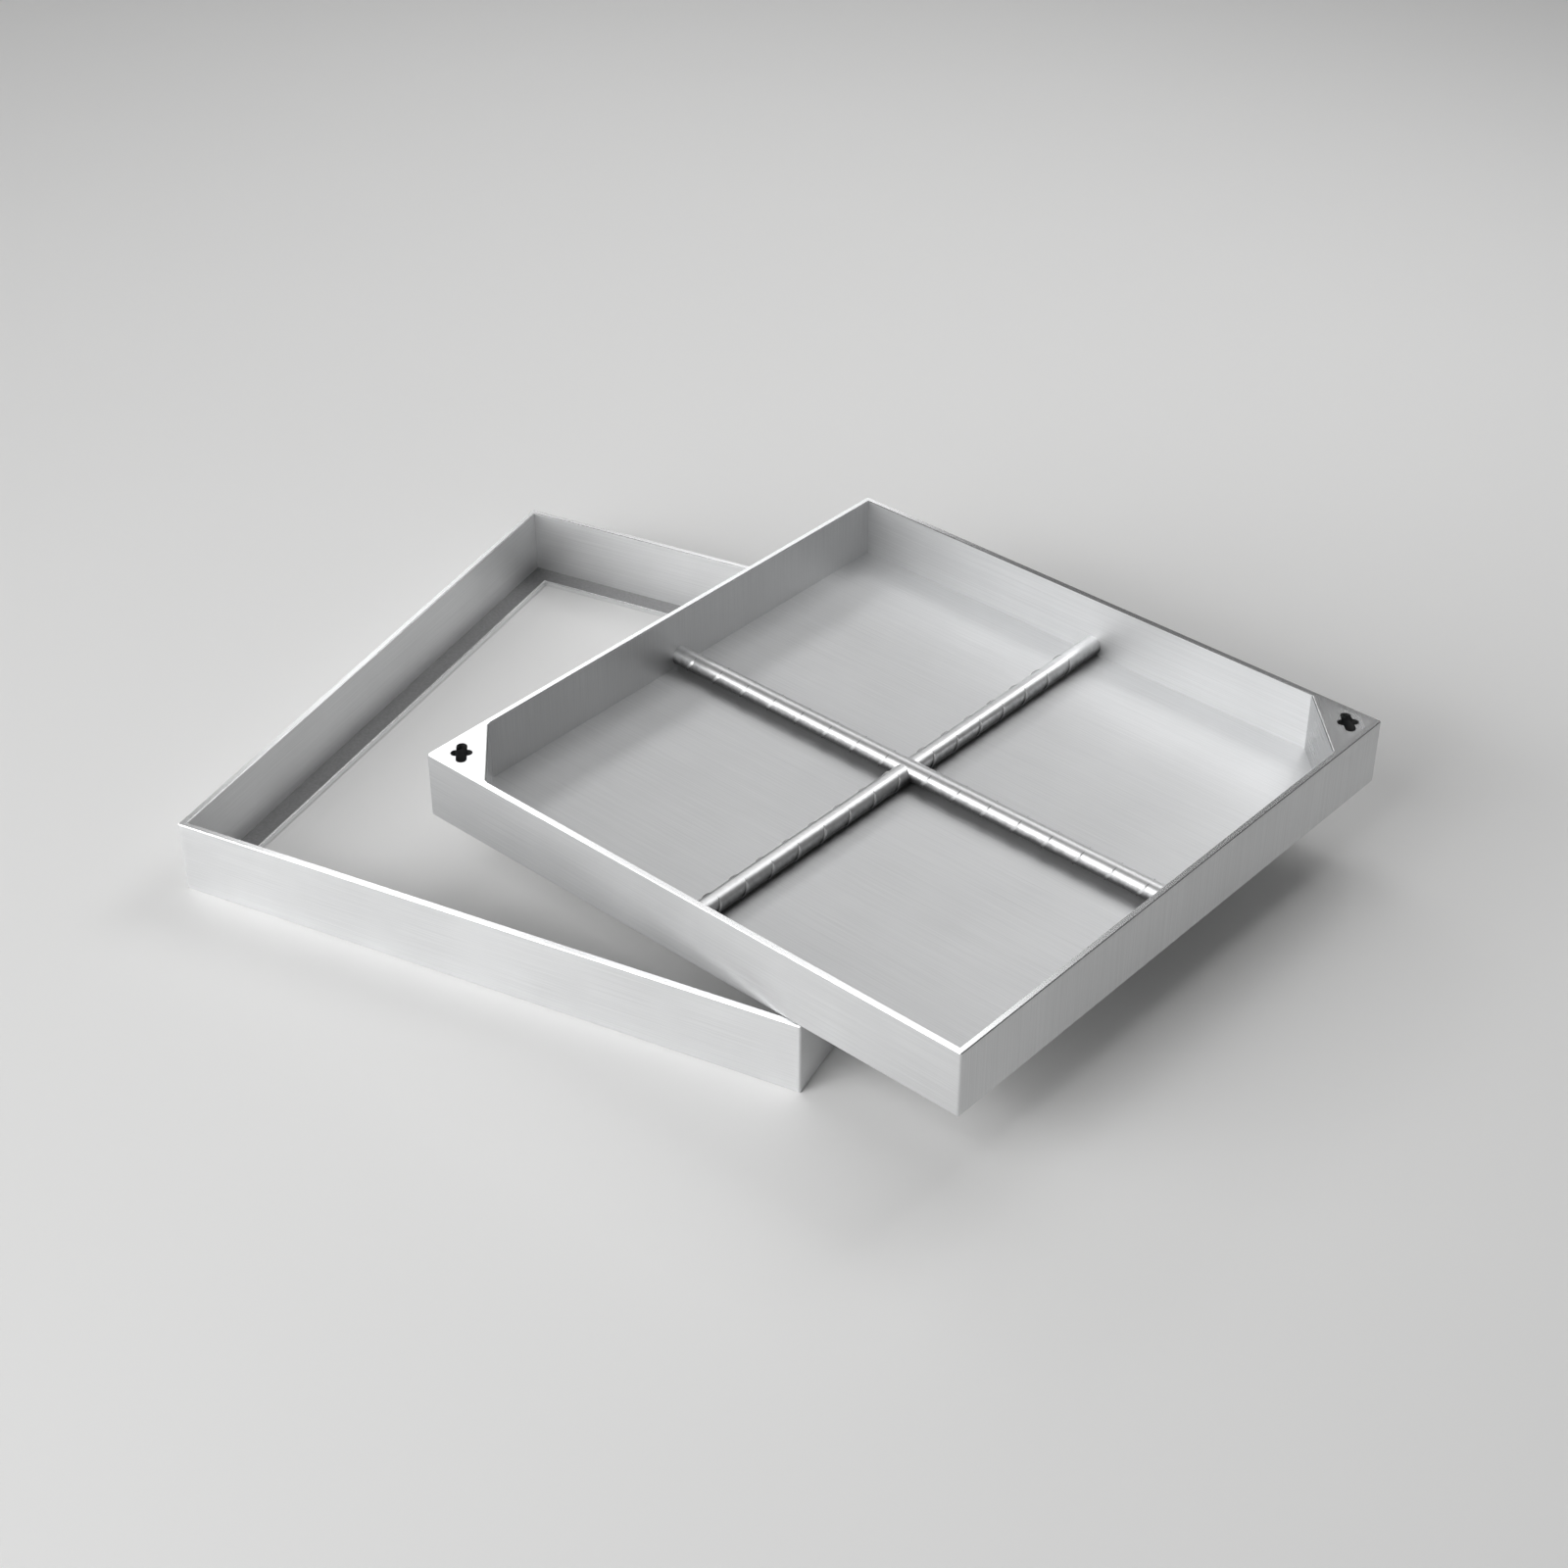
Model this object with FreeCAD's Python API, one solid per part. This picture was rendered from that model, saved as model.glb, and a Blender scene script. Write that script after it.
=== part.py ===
import FreeCAD, Part
import math
import os

# Drain cover: a square infill tray of folded stainless sheet, lifted out and set down askew
# on the rim of its own angle frame. Millimetres, +Z up, ground at z = 0.
# X and Y run along the sides of the tray, and the origin is under the middle of the whole arrangement.

# Angle frame, four mitred lengths of folded sheet
FRAME_SIDE = 300.0           # outside, all four sides alike
FRAME_SHEET = 3.0            # thickness of wall and ledge
LEDGE_WIDTH = 10.0           # seat for the tray, measured inward from the wall

# Infill tray, one sheet turned up on four sides
TRAY_SHEET = 3.0
TRAY_HEIGHT = 32.0           # over the floor sheet and up to the rim
SEAT_CLEARANCE = 1.0         # gap to the frame wall all round when the tray is seated

# Sheet edges
FOLD_RADIUS = 1.0            # outside of a grooved fold, and of a ground corner weld
EDGE_BREAK = 0.4             # bevel that takes the burr off a cut edge

# Corner key pockets, each a plate folded down along its long edge
POCKET_LEG = 31.0            # along the tray's inside faces
POCKET_SHEET = 3.0
KEY_SLOT_LENGTH = 14.5       # long slot, parallel to the fold
KEY_SLOT_WIDTH = 4.8
CROSS_SLOT_LENGTH = 9.6      # short slot, pointing into the corner
CROSS_SLOT_WIDTH = 4.4
KEYHOLE_INSET = 10.6         # from the tray's inside corner to the middle of the keyhole

# Ribbed reinforcing bars, welded wall to wall and to each other
BAR_CORE = 9.2               # diameter between the ribs
RIB_HEIGHT = 0.6
RIB_WIDTH = 1.4
RIB_PITCH = 16.5
RIB_SLANT = 38.0             # degrees away from square across the bar
RIB_FREE_END = 9.0           # plain length left at each end for the weld
CROSSING_X = -5.6            # from the tray's middle to where the bars cross
CROSSING_Y = 7.7
CROSSING_PLAIN = 12.0        # from the crossing to the first rib on each side
CROSSING_STEP = 1.0          # how far the upper bar stands above the lower one

# How the frame lies under the tray
FRAME_TURN = 15.0            # degrees, anticlockwise from the tray's sides
FRAME_SHIFT_X = -117.0       # from the tray's middle to the frame's middle
FRAME_SHIFT_Y = -40.0

# Sizes that follow
TRAY_SIDE = FRAME_SIDE - 2 * (FRAME_SHEET + SEAT_CLEARANCE)
TRAY_INSIDE = TRAY_SIDE - 2 * TRAY_SHEET
FRAME_HEIGHT = FRAME_SHEET + TRAY_HEIGHT
BAR_RADIUS = BAR_CORE / 2
SLANT = math.radians(RIB_SLANT)
RIB_DROP = (BAR_RADIUS + RIB_HEIGHT) * math.cos(SLANT) + RIB_WIDTH / 2 * math.sin(SLANT)
LOWER_BAR_LEVEL = TRAY_SHEET + max(BAR_RADIUS, RIB_DROP)
UPPER_BAR_LEVEL = LOWER_BAR_LEVEL + CROSSING_STEP

Vector = FreeCAD.Vector
CENTRE = Vector(0, 0, 0)
UP = Vector(0, 0, 1)
SLIGHT = 1e-4


def square_block(side, base, height):
    """A block on a square, centred on the Z axis."""
    return Part.makeBox(side, side, height, Vector(-side / 2, -side / 2, base))


def prism(points, base, height):
    """An upright block on the outline through the given (x, y) points."""
    ring = [Vector(x, y, base) for x, y in points]
    outline = Part.makePolygon(ring + ring[:1])
    return Part.Face(outline).extrude(Vector(0, 0, height))


def slot(length, width, base, height):
    """A round-ended slot along X, as a solid to cut with."""
    reach = (length - width) / 2
    middle = Part.makeBox(2 * reach, width, height, Vector(-reach, -width / 2, base))
    ends = [Part.makeCylinder(width / 2, height, Vector(x, 0, base)) for x in (-reach, reach)]
    return middle.multiFuse(ends).removeSplitter()


def level_edges(shape, z):
    """The edges that lie wholly at height z."""
    boxes = [(edge, edge.BoundBox) for edge in shape.Edges]
    return [edge for edge, box in boxes if max(abs(box.ZMin - z), abs(box.ZMax - z)) < SLIGHT]


def upright_edges(shape):
    """The straight edges that run along Z."""
    boxes = [(edge, edge.BoundBox) for edge in shape.Edges]
    return [edge for edge, box in boxes if box.XLength < SLIGHT and box.YLength < SLIGHT]


def frame_rail(quarter):
    """One side of the frame: an L section mitred at both ends, turned to its place."""
    half = FRAME_SIDE / 2
    wall = Part.makeBox(FRAME_SIDE, FRAME_SHEET, FRAME_HEIGHT, Vector(-half, -half, 0))
    ledge = Part.makeBox(FRAME_SIDE, FRAME_SHEET + LEDGE_WIDTH, FRAME_SHEET, Vector(-half, -half, 0))
    angle = wall.fuse(ledge).removeSplitter()
    long_edges = [edge for edge in angle.Edges if edge.BoundBox.XLength > half]
    outside = [edge for edge in long_edges if edge.CenterOfMass.y < SLIGHT - half]
    fold = [edge for edge in outside if edge.CenterOfMass.z < SLIGHT]
    angle = angle.makeFillet(FOLD_RADIUS, fold)

    # Cut edges: both sides of the rim and both sides of the ledge's tip
    tip = FRAME_SHEET + LEDGE_WIDTH - half
    long_edges = [edge for edge in angle.Edges if edge.BoundBox.XLength > half]
    rim = [edge for edge in long_edges if edge.CenterOfMass.z > FRAME_HEIGHT - SLIGHT]
    ledge_tip = [edge for edge in long_edges if abs(edge.CenterOfMass.y - tip) < SLIGHT]
    angle = angle.makeChamfer(EDGE_BREAK, rim + ledge_tip)

    # Mitres meet on the diagonals, and the corner welds are ground round
    wedge = prism([(0, 0), (-FRAME_SIDE, -FRAME_SIDE), (FRAME_SIDE, -FRAME_SIDE)], 0, FRAME_HEIGHT)
    envelope = square_block(FRAME_SIDE, 0, FRAME_HEIGHT)
    envelope = envelope.makeFillet(FOLD_RADIUS, upright_edges(envelope))
    rail = angle.common(wedge).common(envelope)
    rail.rotate(CENTRE, UP, 90 * quarter)
    return rail


def tray_pan():
    """The tray's sheet: a floor and four walls with the burr taken off the rim."""
    block = square_block(TRAY_SIDE, 0, TRAY_HEIGHT)
    block = block.makeFillet(FOLD_RADIUS, upright_edges(block) + level_edges(block, 0))
    sharp = block.cut(square_block(TRAY_INSIDE, TRAY_SHEET, TRAY_HEIGHT))
    pan = sharp.makeChamfer(EDGE_BREAK, level_edges(sharp, TRAY_HEIGHT))

    # The rim stays square inside where a key plate is welded in flush
    reach = POCKET_LEG + TRAY_SHEET / 2
    start = TRAY_INSIDE / 2 + TRAY_SHEET / 2
    near = Part.makeBox(reach, reach, TRAY_HEIGHT, Vector(-start, -start, 0))
    far = Part.makeBox(reach, reach, TRAY_HEIGHT, Vector(start - reach, start - reach, 0))
    return pan.multiFuse([sharp.common(near), sharp.common(far)]).removeSplitter()


def key_pocket(half_turns):
    """A corner plate with its keyhole and the wall folded down from it to the tray floor."""
    height = TRAY_HEIGHT - TRAY_SHEET
    block = prism([(0, 0), (POCKET_LEG, 0), (0, POCKET_LEG)], TRAY_SHEET, height)
    fold = [edge for edge in level_edges(block, TRAY_HEIGHT) if edge.Length > POCKET_LEG + SLIGHT]
    block = block.makeFillet(FOLD_RADIUS, fold)
    leg = POCKET_LEG - POCKET_SHEET * math.sqrt(2)
    pocket = block.cut(prism([(0, 0), (leg, 0), (0, leg)], TRAY_SHEET, height - POCKET_SHEET))

    # Crossed slots for the lifting key
    spot = KEYHOLE_INSET / math.sqrt(2)
    long_slot = (KEY_SLOT_LENGTH, KEY_SLOT_WIDTH, -45)
    short_slot = (CROSS_SLOT_LENGTH, CROSS_SLOT_WIDTH, 45)
    for length, width, angle in (long_slot, short_slot):
        hole = slot(length, width, 0, 2 * TRAY_HEIGHT)
        hole.rotate(CENTRE, UP, angle)
        hole.translate(Vector(spot, spot, 0))
        pocket = pocket.cut(hole)
    pocket.translate(Vector(-TRAY_INSIDE / 2, -TRAY_INSIDE / 2, 0))
    pocket.rotate(CENTRE, UP, 180 * half_turns)
    return pocket


def ribbed_bar(behind, ahead):
    """A bar along X, reaching behind and ahead of the crossing at the origin.

    Each rib is a thin disc set aslant: proud at both sides, lost above and below.
    """
    along = Vector(1, 0, 0)
    core = Part.makeCylinder(BAR_RADIUS, behind + ahead, Vector(-behind, 0, 0), along)
    disc = Part.makeCylinder(BAR_RADIUS + RIB_HEIGHT, RIB_WIDTH, Vector(-RIB_WIDTH / 2, 0, 0), along)
    disc.rotate(CENTRE, Vector(0, 1, 0), RIB_SLANT)
    ribs = []
    for side, length in ((-1, behind), (1, ahead)):
        count = int((length - RIB_FREE_END - CROSSING_PLAIN) / RIB_PITCH) + 1
        for step in range(count):
            rib = disc.copy()
            rib.translate(Vector(side * (CROSSING_PLAIN + step * RIB_PITCH), 0, 0))
            ribs.append(rib)
    return core.multiFuse(ribs).removeSplitter()


def crossed_bars():
    """The lower bar along Y and the upper bar along X, halved into each other where they cross."""
    half = TRAY_INSIDE / 2
    lower = ribbed_bar(half + CROSSING_Y, half - CROSSING_Y)
    lower.rotate(CENTRE, UP, 90)
    lower.translate(Vector(CROSSING_X, CROSSING_Y, LOWER_BAR_LEVEL))
    upper = ribbed_bar(half + CROSSING_X, half - CROSSING_X)
    upper.translate(Vector(CROSSING_X, CROSSING_Y, UPPER_BAR_LEVEL))

    # The upper bar's top half runs through a notch in the lower bar, and sits on what is left of it
    halving_level = (LOWER_BAR_LEVEL + UPPER_BAR_LEVEL) / 2
    block = square_block(2 * BAR_CORE, halving_level, BAR_CORE)
    block.translate(Vector(CROSSING_X, CROSSING_Y, 0))
    lower = lower.cut(upper.common(block))
    return lower, upper.cut(lower)


def arrangement_middle():
    """Middle of the ground plan of tray and frame together, seen from the tray's middle."""
    turn = math.radians(FRAME_TURN)
    reach = (FRAME_SIDE / 2 - FOLD_RADIUS) * (math.cos(turn) + math.sin(turn)) + FOLD_RADIUS
    middle = []
    for shift in (FRAME_SHIFT_X, FRAME_SHIFT_Y):
        low = min(shift - reach, -TRAY_SIDE / 2)
        high = max(shift + reach, TRAY_SIDE / 2)
        middle.append((low + high) / 2)
    return Vector(middle[0], middle[1], 0)


lower_bar, upper_bar = crossed_bars()
tray_parts = {
    "tray_pan": tray_pan(),
    "lower_bar": lower_bar,
    "upper_bar": upper_bar,
    "key_pocket_left": key_pocket(0),
    "key_pocket_right": key_pocket(1),
}
frame_parts = {
    "frame_front": frame_rail(0),
    "frame_right": frame_rail(1),
    "frame_back": frame_rail(2),
    "frame_left": frame_rail(3),
}

middle = arrangement_middle()
for shape in tray_parts.values():
    shape.translate(Vector(0, 0, FRAME_HEIGHT) - middle)
for shape in frame_parts.values():
    shape.rotate(CENTRE, UP, FRAME_TURN)
    shape.translate(Vector(FRAME_SHIFT_X, FRAME_SHIFT_Y, 0) - middle)

os.makedirs("parts", exist_ok=True)
for name, shape in {**tray_parts, **frame_parts}.items():
    shape.exportStep(f"parts/{name}.step")
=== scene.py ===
import math

import bpy
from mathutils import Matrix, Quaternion, Vector

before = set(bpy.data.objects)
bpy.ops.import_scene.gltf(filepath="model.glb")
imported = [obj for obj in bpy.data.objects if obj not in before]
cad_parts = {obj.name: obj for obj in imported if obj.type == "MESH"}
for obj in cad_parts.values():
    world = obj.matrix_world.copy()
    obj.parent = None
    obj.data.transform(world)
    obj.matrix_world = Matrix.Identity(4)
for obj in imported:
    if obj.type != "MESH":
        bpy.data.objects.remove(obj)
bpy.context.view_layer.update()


# The angle frame: four lengths of folded stainless angle, mitred and welded into a square.
# Each strip is brushed along its length before it is folded, so the grain turns at the mitres,
# where the welds are ground flush and leave a faint cross-ground seam. The ledge at the foot is painted dark and
# mottled:
# that is painted shade, in the gap between the frame and the tray. The top edge and the ledge's inner tip are
# painted pale as a painted highlight, and are smoother as well.
class Value:
    """A value on its way through a finish. Arithmetic on it adds Math nodes."""

    def __init__(self, socket):
        self.socket = socket

    def reckon(self, operation, *terms):
        tree = self.socket.id_data
        step = tree.nodes.new("ShaderNodeMath")
        step.operation = operation
        for place, term in zip(step.inputs, terms):
            if isinstance(term, Value):
                tree.links.new(term.socket, place)
            else:
                place.default_value = term
        return Value(step.outputs[0])

    def __add__(self, other):
        return self.reckon("ADD", self, other)

    def __radd__(self, other):
        return self.reckon("ADD", other, self)

    def __sub__(self, other):
        return self.reckon("SUBTRACT", self, other)

    def __rsub__(self, other):
        return self.reckon("SUBTRACT", other, self)

    def __mul__(self, other):
        return self.reckon("MULTIPLY", self, other)

    def __rmul__(self, other):
        return self.reckon("MULTIPLY", other, self)

    def __abs__(self):
        return self.reckon("ABSOLUTE", self)


# A Mix node's colour sockets go by number, because its sockets for numbers and vectors have the same names.
MIX_SHARE = 0
MIX_FIRST = 6
MIX_SECOND = 7
MIX_COLOUR = 2
BUMP_REACH = 0.0002
GRAIN_SHARE = 0.6
HANDLING_SHARE = 0.4
TONE_SPAN = (0.3, 0.7)


class Finish:
    """A finish: one material, whose nodes are added one at a time."""

    def __init__(self, name):
        self.material = bpy.data.materials.new(name)
        self.material.use_nodes = True
        self.tree = self.material.node_tree
        self.tree.nodes.clear()

    def add(self, kind, output, settings=None, sockets=None):
        node = self.tree.nodes.new(kind)
        for name, setting in (settings or {}).items():
            setattr(node, name, setting)
        for name, value in (sockets or {}).items():
            if isinstance(value, Value):
                self.tree.links.new(value.socket, node.inputs[name])
            else:
                node.inputs[name].default_value = value
        return Value(node.outputs[output]) if output is not None else node

    def ramp(self, value, low, high, start=0.0, end=1.0):
        """A smooth climb from start to end while the value goes from low to high."""
        return self.add("ShaderNodeMapRange", "Result", {"interpolation_type": "SMOOTHSTEP"}, {
            "Value": value, "From Min": low, "From Max": high, "To Min": start, "To Max": end})

    def blend(self, share, first, second):
        """Two colours mixed, by a share of the second."""
        return self.add("ShaderNodeMix", MIX_COLOUR, {"data_type": "RGBA"}, {
            MIX_SHARE: share, MIX_FIRST: first, MIX_SECOND: second})

    def cloud(self, place, stretch, detail):
        """Noise on a place, with its own scale along each direction in blotches per metre."""
        spread = self.add("ShaderNodeMapping", "Vector", {"vector_type": "POINT"}, {
            "Vector": place, "Scale": stretch})
        return self.add("ShaderNodeTexNoise", "Fac", {"noise_dimensions": "3D"}, {
            "Vector": spread, "Scale": 1.0, "Detail": detail, "Roughness": 0.5})

    def brushed(self, grain, handling, deep, pale):
        """The colour of brushed sheet, which varies with its grain and a little with handling."""
        tone = self.ramp(grain * GRAIN_SHARE + handling * HANDLING_SHARE, *TONE_SPAN)
        return self.blend(tone, deep, pale)

    def polish(self, colour, roughness, height, relief):
        """The metal itself, bent by a height pattern."""
        bent = self.add("ShaderNodeBump", "Normal", None, {
            "Strength": relief, "Distance": BUMP_REACH, "Height": height})
        metal = self.add("ShaderNodeBsdfPrincipled", "BSDF", None, {
            "Base Color": colour, "Metallic": 1.0, "Roughness": roughness, "Normal": bent})
        self.add("ShaderNodeOutputMaterial", None, None, {"Surface": metal})


ANGLE_DEEP = (0.725, 0.73, 0.735, 1.0)
ANGLE_PALE = (0.81, 0.815, 0.82, 1.0)
# The pale colour of the painted highlight on the top edges and the ledge tip.
EDGE_HIGHLIGHT_PALE = (0.86, 0.865, 0.87, 1.0)
# The dark, mottled colours of the painted shade on the ledge.
LEDGE_SHADE_DARK = (0.22, 0.22, 0.222, 1.0)
LEDGE_SHADE_PALE = (0.36, 0.36, 0.362, 1.0)
FRAME_TURN = math.radians(15.0)
FRAME_MIDDLE = (-0.0397565, -0.0012565, 0.0)
FRAME_RIM = 0.035
BEVEL_FOOT = 0.0006
BEVEL_HEAD = 0.0002
LEDGE_TIP = 0.137
TIP_BRIGHT = 0.0004
TIP_END = 0.0007
LEDGE_LEVEL = 0.004
LEDGE_CLEAR = 0.006
MITRE_LINE = 0.0002
SEAM_CORE = 0.0012
SEAM_FADE = 0.003
SEAM_GROUND = 0.6
FACING_UP = (0.6, 0.9)
GRAIN_DETAIL = 2.0
BLOTCH_DETAIL = 3.0
GRAIN_ALONG_X = (22.0, 2600.0, 2600.0)
GRAIN_ALONG_Y = (2600.0, 22.0, 2600.0)
SEAM_GRIND = (1200.0, 1200.0, 120.0)
FRAME_HANDLING = (22.0, 22.0, 22.0)
LEDGE_MOTTLE = (900.0, 900.0, 900.0)
ANGLE_DULLNESS = 0.50
GRAIN_DULLNESS = 0.05
HANDLING_DULLNESS = 0.04
SEAM_DULLNESS = 0.05
EDGE_POLISH = 0.55
GRAIN_RELIEF = 0.02

frame_steel = Finish("frame_steel_brushed")
place = frame_steel.add("ShaderNodeTexCoord", "Object")
square = frame_steel.add("ShaderNodeMapping", "Vector", {"vector_type": "TEXTURE"}, {
    "Vector": place, "Location": FRAME_MIDDLE, "Rotation": (0.0, 0.0, FRAME_TURN)})
axes = frame_steel.add("ShaderNodeSeparateXYZ", None, None, {"Vector": square})
across, along, level = (Value(axes.outputs[name]) for name in "XYZ")
facing = frame_steel.add("ShaderNodeNewGeometry", "Normal")
upward = frame_steel.add("ShaderNodeSeparateXYZ", "Z", None, {"Vector": facing})

from_mitre = abs(across) - abs(along)
side_rail = frame_steel.ramp(from_mitre, -MITRE_LINE, MITRE_LINE)
seam = frame_steel.ramp(abs(from_mitre), SEAM_CORE, SEAM_FADE, 1.0, 0.0)
grain_x = frame_steel.cloud(square, GRAIN_ALONG_X, GRAIN_DETAIL)
grain_y = frame_steel.cloud(square, GRAIN_ALONG_Y, GRAIN_DETAIL)
grain = grain_x + (grain_y - grain_x) * side_rail
ground = frame_steel.cloud(square, SEAM_GRIND, GRAIN_DETAIL)
grain = grain + (ground - grain) * (seam * SEAM_GROUND)
handling = frame_steel.cloud(square, FRAME_HANDLING, BLOTCH_DETAIL)
ledge_mottle = frame_steel.cloud(square, LEDGE_MOTTLE, BLOTCH_DETAIL)

# The ledge: up-facing faces at the foot get painted shade, dark and mottled.
ledge = frame_steel.ramp(upward, *FACING_UP) * frame_steel.ramp(level, LEDGE_LEVEL, LEDGE_CLEAR, 1.0, 0.0)
from_middle = across.reckon("MAXIMUM", abs(across), abs(along))
tip = frame_steel.ramp(from_middle, LEDGE_TIP + TIP_BRIGHT, LEDGE_TIP + TIP_END, 1.0, 0.0)
# The top edge and the ledge's inner tip get a painted highlight: paler colour, and smoother.
edge = frame_steel.ramp(level, FRAME_RIM - BEVEL_FOOT, FRAME_RIM - BEVEL_HEAD) + tip
sheet = frame_steel.blend(edge, frame_steel.brushed(grain, handling, ANGLE_DEEP, ANGLE_PALE), EDGE_HIGHLIGHT_PALE)
painted_ledge_shade = frame_steel.blend(ledge_mottle, LEDGE_SHADE_DARK, LEDGE_SHADE_PALE)
dullness = ANGLE_DULLNESS + grain * GRAIN_DULLNESS + handling * HANDLING_DULLNESS + seam * SEAM_DULLNESS
frame_steel.polish(
    frame_steel.blend(ledge * (1 - tip), sheet, painted_ledge_shade),
    dullness * (1 - edge * EDGE_POLISH),
    grain, GRAIN_RELIEF)
for name in ("frame_front", "frame_right", "frame_back", "frame_left"):
    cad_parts[name].data.materials[0] = frame_steel.material


# The tray: one sheet of brushed stainless turned up on four sides, the corner seams welded and ground flush.
# The grain crosses the floor from side to side, runs along two walls and turns upright on the other two,
# because it is the same sheet. The rim is dressed with a fine belt, so it is smoother, and it is painted paler
# than the sheet as a painted highlight.
SHEET_DEEP = (0.655, 0.66, 0.665, 1.0)
SHEET_PALE = (0.735, 0.74, 0.745, 1.0)
TRAY_RIM = 0.067
FACING_SIDEWAYS = (0.6, 0.8)
GRAIN_UPRIGHT = (2600.0, 2600.0, 22.0)
TRAY_HANDLING = (18.0, 18.0, 18.0)
SHEET_DULLNESS = 0.51
RIM_POLISH = 0.62

tray_steel = Finish("tray_steel_brushed")
place = tray_steel.add("ShaderNodeTexCoord", "Object")
level = tray_steel.add("ShaderNodeSeparateXYZ", "Z", None, {"Vector": place})
facing = tray_steel.add("ShaderNodeNewGeometry", "Normal")
sideways = tray_steel.add("ShaderNodeSeparateXYZ", "X", None, {"Vector": facing})
end_wall = tray_steel.ramp(abs(sideways), *FACING_SIDEWAYS)
# The rim: smoother, and painted paler as a painted highlight.
rim = tray_steel.ramp(level, TRAY_RIM - BEVEL_FOOT, TRAY_RIM - BEVEL_HEAD)
grain_flat = tray_steel.cloud(place, GRAIN_ALONG_X, GRAIN_DETAIL)
grain_upright = tray_steel.cloud(place, GRAIN_UPRIGHT, GRAIN_DETAIL)
grain = grain_flat + (grain_upright - grain_flat) * end_wall
handling = tray_steel.cloud(place, TRAY_HANDLING, BLOTCH_DETAIL)
dullness = SHEET_DULLNESS + grain * GRAIN_DULLNESS + handling * HANDLING_DULLNESS
tray_steel.polish(
    tray_steel.blend(rim, tray_steel.brushed(grain, handling, SHEET_DEEP, SHEET_PALE), EDGE_HIGHLIGHT_PALE),
    dullness * (1 - rim * RIM_POLISH),
    grain, GRAIN_RELIEF)
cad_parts["tray_pan"].data.materials[0] = tray_steel.material


# The reinforcing bars: hot-rolled ribbed stainless bar, halved into each other and welded to the walls.
# Their tops are painted bright as painted light, fading down the flanks into painted shade, dark and mottled,
# and the corners beside the ribs get painted shade too. The tops are also smoother than the flanks.
# The dark, mottled colours of the painted shade on the bars' flanks.
FLANK_SHADE_DARK = (0.05, 0.05, 0.051, 1.0)
FLANK_SHADE_PALE = (0.18, 0.18, 0.182, 1.0)
BAR_DEEP = (0.69, 0.695, 0.70, 1.0)
BAR_PALE = (0.84, 0.845, 0.85, 1.0)
FLANK_BLOTCH = (700.0, 700.0, 700.0)
TOP_PATCH = (420.0, 420.0, 420.0)
PATCH_REACH = 0.0014
SHADE_FADE_LOW = -0.0012
SHADE_FADE_HIGH = 0.0033
RIB_LEAN = (0.35, 0.6)
RIB_SHADE = 0.75
FLANK_DULLNESS = 0.52
LIT_TOP_POLISH = 0.14
BLOTCH_DULLNESS = 0.08
BLOTCH_RELIEF = 0.10
LOWER_AXIS = 0.0426
UPPER_AXIS = 0.0436


def bar_finish(name, lie, axis_level):
    """The finish of a bar along X or Y: painted light above, painted shade on the flanks and beside the ribs."""
    bar = Finish(name)
    place = bar.add("ShaderNodeTexCoord", "Object")
    height = bar.add("ShaderNodeSeparateXYZ", "Z", None, {"Vector": place})
    facing = bar.add("ShaderNodeNewGeometry", "Normal")
    lengthways = bar.add("ShaderNodeSeparateXYZ", lie, None, {"Vector": facing})
    rib_side = bar.ramp(abs(lengthways), *RIB_LEAN)
    blotch = bar.cloud(place, FLANK_BLOTCH, BLOTCH_DETAIL)
    patch = bar.cloud(place, TOP_PATCH, GRAIN_DETAIL)
    # Painted light on the top of the bar, fading into painted shade down its flanks.
    painted_lit_top = bar.ramp(height + (patch - 0.5) * PATCH_REACH, axis_level + SHADE_FADE_LOW, axis_level + SHADE_FADE_HIGH)
    # Painted shade in the corners beside the ribs.
    bright = painted_lit_top * (1 - rib_side * RIB_SHADE)
    # The painted shade itself: dark, mottled, and darkest beside the ribs.
    painted_flank_shade = bar.blend(blotch * (1 - rib_side), FLANK_SHADE_DARK, FLANK_SHADE_PALE)
    bar.polish(
        bar.blend(bright, painted_flank_shade, bar.blend(patch, BAR_DEEP, BAR_PALE)),
        FLANK_DULLNESS - bright * LIT_TOP_POLISH + blotch * BLOTCH_DULLNESS,
        blotch, BLOTCH_RELIEF)
    return bar.material


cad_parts["lower_bar"].data.materials[0] = bar_finish("lower_bar_steel", "Y", LOWER_AXIS)
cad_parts["upper_bar"].data.materials[0] = bar_finish("upper_bar_steel", "X", UPPER_AXIS)


# The key pockets: a triangle of the same sheet in each of two opposite corners, folded down to the floor of the
# tray and welded in, with a crossed keyhole punched through. The top is polished flush with the rim.
TRAY_MIDDLE = (0.0772435, 0.0387435, 0.0)
PLATE_TURN = math.radians(-45.0)
PLATE_GRAIN = (40.0, 1500.0, 1500.0)
PLATE_HANDLING = (40.0, 40.0, 40.0)
PLATE_DULLNESS = 0.2
PLATE_WEAR = 0.06
PLATE_RELIEF = 0.04

key_plate = Finish("key_plate_polished")
place = key_plate.add("ShaderNodeTexCoord", "Object")
turned = key_plate.add("ShaderNodeMapping", "Vector", {"vector_type": "TEXTURE"}, {
    "Vector": place, "Location": TRAY_MIDDLE, "Rotation": (0.0, 0.0, PLATE_TURN)})
grain = key_plate.cloud(turned, PLATE_GRAIN, GRAIN_DETAIL)
handling = key_plate.cloud(turned, PLATE_HANDLING, BLOTCH_DETAIL)
key_plate.polish(
    key_plate.brushed(grain, handling, SHEET_DEEP, SHEET_PALE),
    PLATE_DULLNESS + grain * PLATE_WEAR + handling * PLATE_WEAR,
    grain, PLATE_RELIEF)
for name in ("key_pocket_left", "key_pocket_right"):
    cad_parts[name].data.materials[0] = key_plate.material


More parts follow.
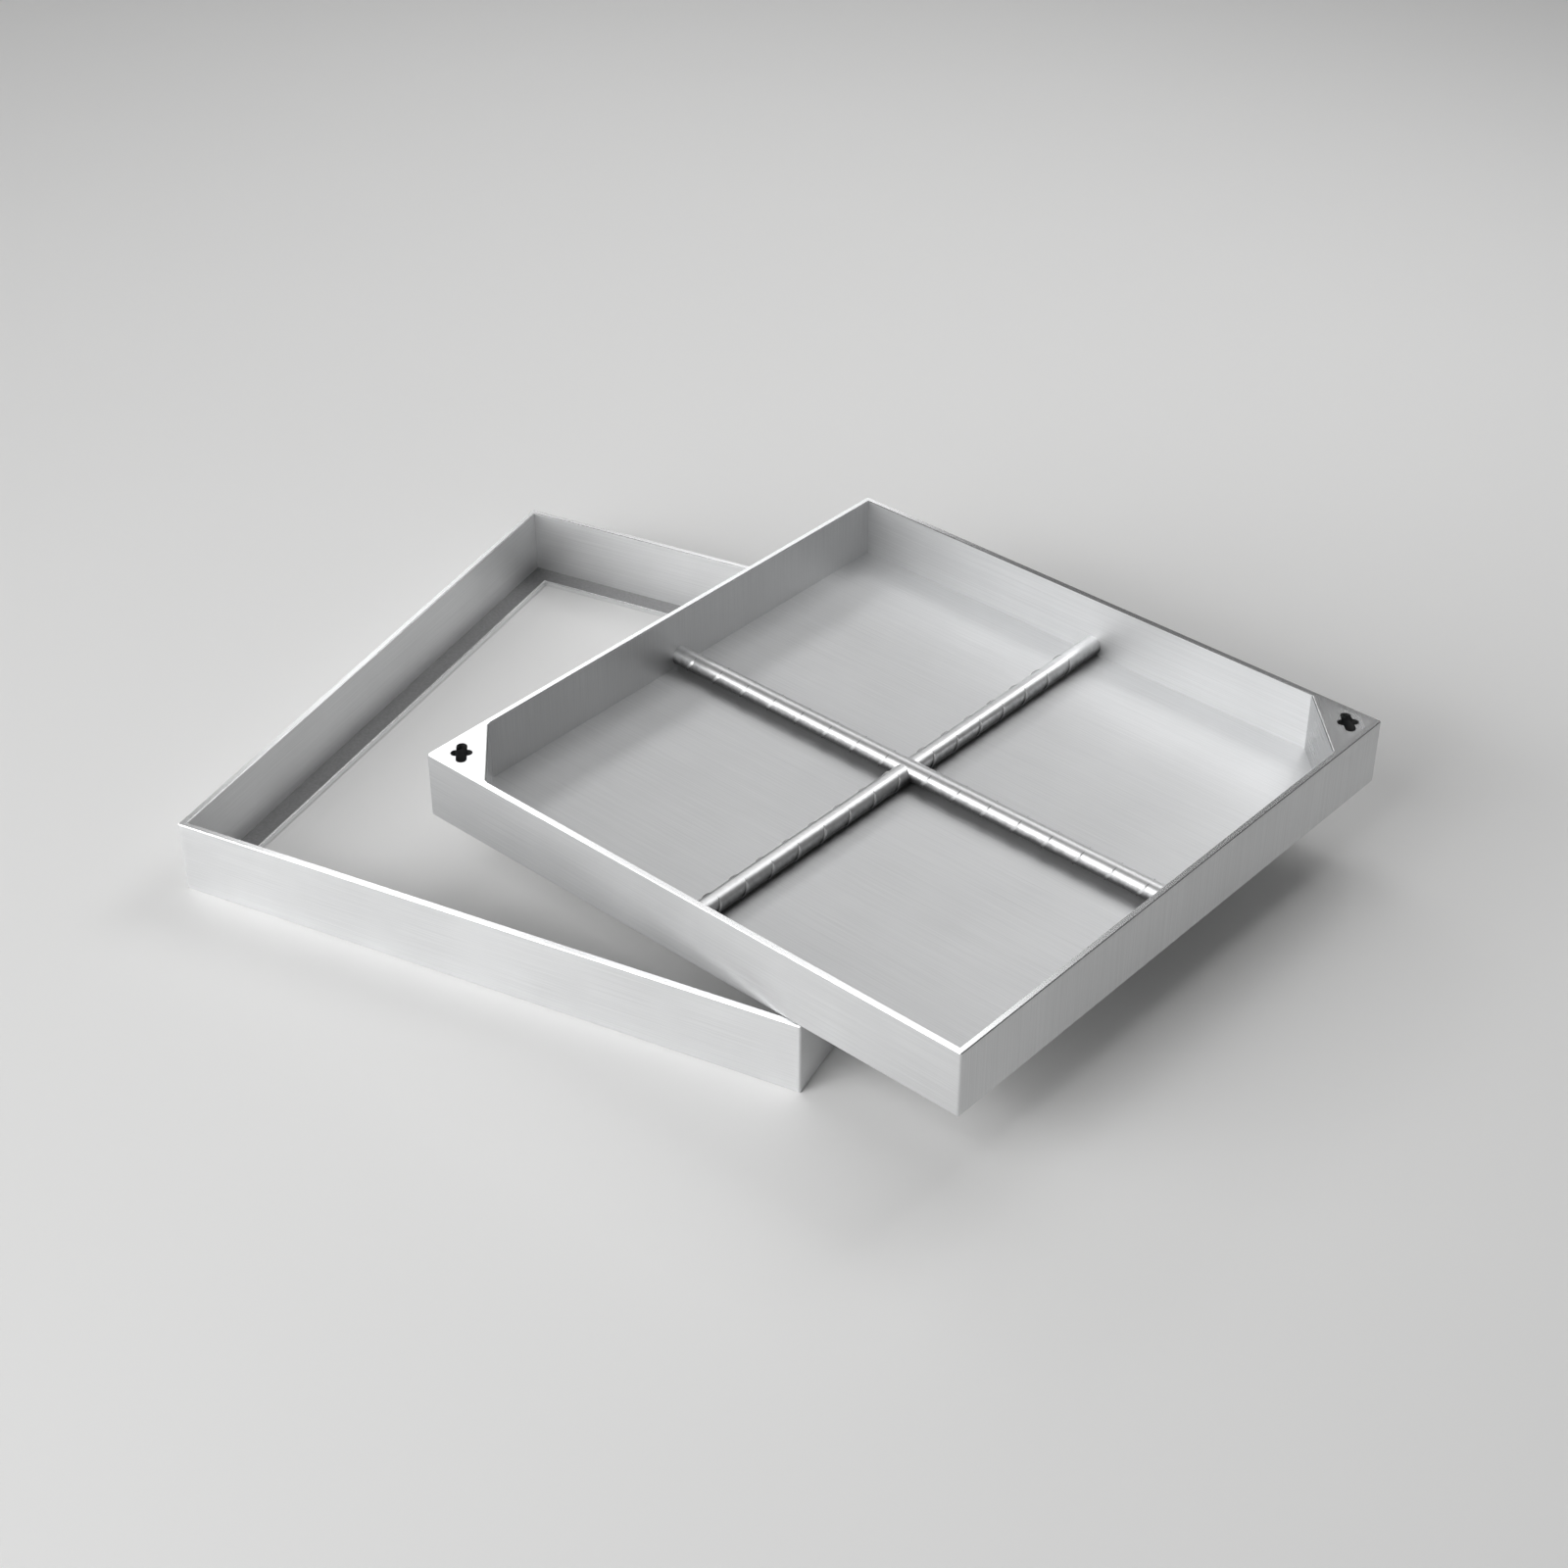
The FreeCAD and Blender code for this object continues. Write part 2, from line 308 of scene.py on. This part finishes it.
# The studio: a plain pale floor under an even sky, with soft panels at the left and in front for the upright faces,
# strips and boxes beyond the object for the rims, the bars and the tray's floor, and the camera where the picture
# was taken from.
FLOOR_SIZE = 8.0
FLOOR_SHADE = (0.84, 0.84, 0.835, 1.0)
FLOOR_PALE = (0.86, 0.86, 0.855, 1.0)
FLOOR_MOTTLE = (3.0, 3.0, 3.0)
FLOOR_DULLNESS = 0.9
SKY_WHITE = (1.0, 1.0, 1.0, 1.0)
SKY_LEVEL = 0.12

bpy.ops.object.select_all(action="DESELECT")
bpy.ops.mesh.primitive_plane_add(size=FLOOR_SIZE, location=(0.0, 0.0, 0.0))
studio_floor = bpy.context.object
studio_floor.name = "studio_floor"
floor_paint = Finish("studio_floor_pale")
place = floor_paint.add("ShaderNodeTexCoord", "Object")
mottle = floor_paint.cloud(place, FLOOR_MOTTLE, GRAIN_DETAIL)
matt = floor_paint.add("ShaderNodeBsdfPrincipled", "BSDF", None, {
    "Base Color": floor_paint.blend(mottle, FLOOR_SHADE, FLOOR_PALE), "Roughness": FLOOR_DULLNESS})
floor_paint.add("ShaderNodeOutputMaterial", None, None, {"Surface": matt})
studio_floor.data.materials.append(floor_paint.material)

sky = bpy.data.worlds.new("studio_sky")
sky.use_nodes = True
sky.node_tree.nodes["Background"].inputs["Color"].default_value = SKY_WHITE
sky.node_tree.nodes["Background"].inputs["Strength"].default_value = SKY_LEVEL
bpy.context.scene.world = sky

VIEW_TURN = math.radians(41.54)
VIEW_AIM = Vector((-0.00159, 0.04713, 0.0))


def stand_at(right, beyond, up):
    """A place given as the camera sees it: to the right of its aim, beyond it, and above the floor."""
    sideways = Vector((math.cos(VIEW_TURN), math.sin(VIEW_TURN), 0.0))
    away = Vector((-math.sin(VIEW_TURN), math.cos(VIEW_TURN), 0.0))
    return VIEW_AIM + sideways * right + away * beyond + Vector((0.0, 0.0, up))


def soft_lamp(name, stand, aim, width, height, glow, roll):
    """A soft box of even brightness, from its stand towards its aim, rolled about that line by some degrees."""
    data = bpy.data.lights.new(name, "AREA")
    data.shape = "RECTANGLE"
    data.size = width
    data.size_y = height
    data.energy = glow * math.pi * width * height
    lamp = bpy.data.objects.new(name, data)
    lamp.location = stand
    lamp.visible_camera = False
    facing_aim = (aim - stand).to_track_quat("-Z", "Y")
    lamp.rotation_euler = (facing_aim @ Quaternion((0.0, 0.0, 1.0), math.radians(roll))).to_euler()
    bpy.context.scene.collection.objects.link(lamp)


# Each lamp's name, stand, width, height, glow and roll.
LAMPS = (
    ("near_high_box", (-0.8, -0.98, 1.2), 0.9, 0.9, 3.0, 0.0),
    ("near_left_panel", (-2.275, -1.845, 1.25), 3.0, 1.5, 2.8, 0.0),
    ("left_panel", (-3.115, -0.915, 1.115), 2.7, 1.95, 2.2, 0.0),
    ("front_low_panel", (-2.22, -1.29, 0.225), 2.4, 0.35, 3.5, 0.0),
    ("far_left_strip", (-0.36, 1.0, 0.77), 0.62, 0.16, 0.8, 58.8),
    ("far_low_strip", (-0.156, 1.0, 0.69), 0.70, 0.16, 1.5, 29.5),
    ("far_high_strip", (-0.12, 1.0, 0.984), 0.72, 0.16, 1.15, -33.2),
    ("far_overhead_box", (0.05, 0.565, 1.132), 0.55, 0.55, 1.5, 0.0),
    ("far_right_box", (0.641, 0.531, 0.979), 0.55, 0.55, 3.5, 0.0),
)
tray_middle_seen = stand_at(0.05, -0.06, 0.05)
for name, stand, width, height, glow, roll in LAMPS:
    soft_lamp(name, stand_at(*stand), tray_middle_seen, width, height, glow, roll)

CAMERA_STAND = (0.7019, -0.7469, 0.7652)
LENS_LENGTH = 65.11
SENSOR_WIDTH = 36.0

lens = bpy.data.cameras.new("camera")
lens.lens = LENS_LENGTH
lens.sensor_width = SENSOR_WIDTH
camera = bpy.data.objects.new("camera", lens)
camera.location = CAMERA_STAND
camera.rotation_euler = (VIEW_AIM - camera.location).to_track_quat("-Z", "Y").to_euler()
bpy.context.scene.collection.objects.link(camera)
bpy.context.scene.camera = camera
bpy.context.scene.view_settings.view_transform = "Standard"
